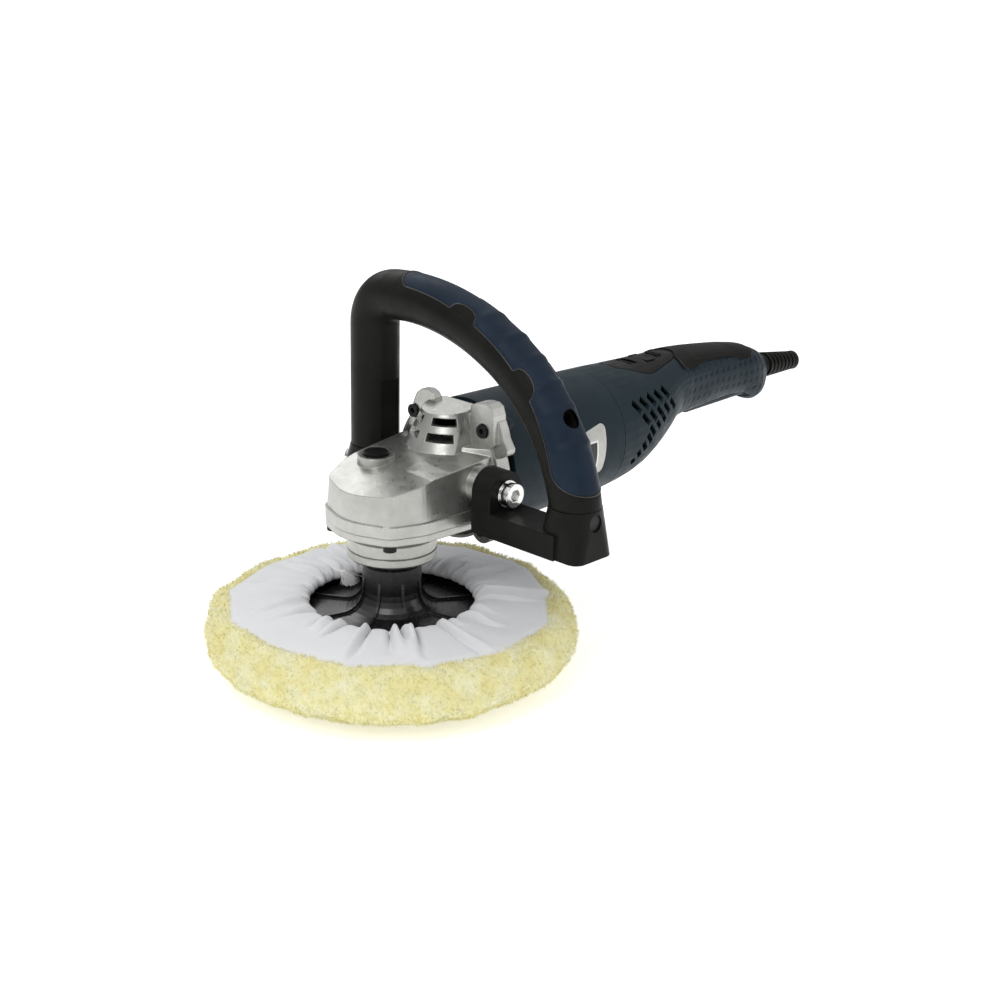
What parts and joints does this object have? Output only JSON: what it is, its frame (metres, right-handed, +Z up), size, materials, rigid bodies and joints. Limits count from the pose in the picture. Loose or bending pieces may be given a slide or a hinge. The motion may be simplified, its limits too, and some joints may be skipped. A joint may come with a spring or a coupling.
{
  "type": "rotary polisher",
  "caption": "Mains rotary polisher with a lambswool bonnet, cast gear head, round motor body, rear trigger handle and an arched front handle.",
  "frame": {"origin": "middle of the bonnet's flat polishing face", "axes": "+Z up the spindle away from the work, +X back along the motor to the rear handle, the handle's near foot is at -Y"},
  "size_m": [0.4597, 0.2106, 0.2084],
  "materials": {
    "lambswool": "long cream pile",
    "bonnet_cloth": "matt woven cotton",
    "white_cotton": "matt twisted cord",
    "black_rubber": "satin",
    "steel": "ground",
    "dark_steel": "oiled",
    "bright_steel": "bright plated",
    "cast_alloy": "satin die cast, blasted",
    "black_screw": "blackened",
    "black_plastic": "satin",
    "charcoal_plastic": "satin, slightly warm",
    "navy_plastic": "satin, fine grain",
    "navy_rubber": "satin",
    "grip_rubber": "satin",
    "core_steel": "laminated",
    "enamelled_copper": "varnished",
    "bare_copper": "turned",
    "brass": "satin",
    "carbon": "matt",
    "plate_foil": "printed foil",
    "board_green": "satin",
    "film_yellow": "gloss"
  },
  "bodies": {
    "housing": {"spindle_bearing_outer": "steel", "needle_bush": "steel", "dust_ring": "cast_alloy", "bearing_cover": "cast_alloy", "cover_screws": "black_screw", "gear_housing": "cast_alloy", "flange_screws": "black_screw", "lock_spring": "steel", "front_bearing": "steel", "rear_bearing": "steel", "bearing_retainer": "cast_alloy", "fan_baffle": "black_plastic", "motor_housing": "navy_plastic", "stator_core": "core_steel", "field_windings": "enamelled_copper", "brush_holders": "brass", "carbon_brushes": "carbon", "brush_springs": "steel", "name_plate": "plate_foil", "rear_housing_left": "navy_plastic", "rear_housing_right": "navy_plastic", "housing_screws": "black_screw", "switch_plate": "black_plastic", "speed_board": "board_green", "switch_module": "black_plastic", "capacitor": "film_yellow", "trigger_pin": "steel", "top_grip": "grip_rubber", "strain_relief": "grip_rubber", "cord_clamp": "black_plastic", "clamp_screws": "steel", "near_bracket": "charcoal_plastic", "far_bracket": "charcoal_plastic", "bracket_bolts": "bright_steel", "bracket_washers": "bright_steel", "handle_frame": "charcoal_plastic", "handle_grip": "navy_rubber", "handle_screws": "black_screw"},
    "spindle": {"bonnet_wool": "lambswool", "bonnet_sleeve": "bonnet_cloth", "drawstring": "white_cotton", "backing_plate": "black_rubber", "thread_insert": "steel", "spindle_shaft": "steel", "ring_gear": "dark_steel", "gear_key": "steel", "spindle_bearing_inner": "steel", "spindle_bearing_balls": "steel"},
    "armature": {"armature_shaft": "steel", "armature_core": "core_steel", "armature_windings": "enamelled_copper", "commutator": "bare_copper", "cooling_fan": "black_plastic", "pinion": "dark_steel", "pinion_nut": "steel"},
    "lock_button": {"lock_button": "black_plastic"},
    "trigger": {"trigger": "navy_plastic"},
    "lock_on_button": {"lock_on_button": "black_plastic"},
    "speed_dial": {"speed_dial": "black_plastic"}
  },
  "joints": [
    {"name": "spindle_spin", "type": "hinge", "parent": "housing", "child": "spindle", "pos_m": [0, 0, 0.0771], "axis": [0, 0, 1], "continuous": true},
    {"name": "armature_spin", "type": "hinge", "parent": "housing", "child": "armature", "pos_m": [0.1, 0, 0.1035], "axis": [1, 0, 0], "continuous": true},
    {"name": "lock_button_press", "type": "slide", "parent": "housing", "child": "lock_button", "axis": [0, 0, -1], "range_m": [0, 0.0045], "stiffness_N_per_m": 400, "springref_m": -0.003, "deforming": ["lock_spring"]},
    {"name": "trigger_squeeze", "type": "hinge", "parent": "housing", "child": "trigger", "pos_m": [0.241, 0, 0.1058], "axis": [0, -1, 0], "range_deg": [0, 3.5], "stiffness_Nm_per_rad": 2, "springref_deg": -5.73},
    {"name": "lock_on_press", "type": "slide", "parent": "housing", "child": "lock_on_button", "axis": [0, 0, -1], "range_m": [0, 0.0015], "stiffness_N_per_m": 600, "springref_m": -0.001},
    {"name": "speed_dial_turn", "type": "hinge", "parent": "housing", "child": "speed_dial", "pos_m": [0.1873, 0, 0.1269], "axis": [0, 1, 0], "range_deg": [0, 270]}
  ],
  "couplings": [
    {"joint": "armature_spin", "follows": "spindle_spin", "ratio": 4.1111}
  ]
}
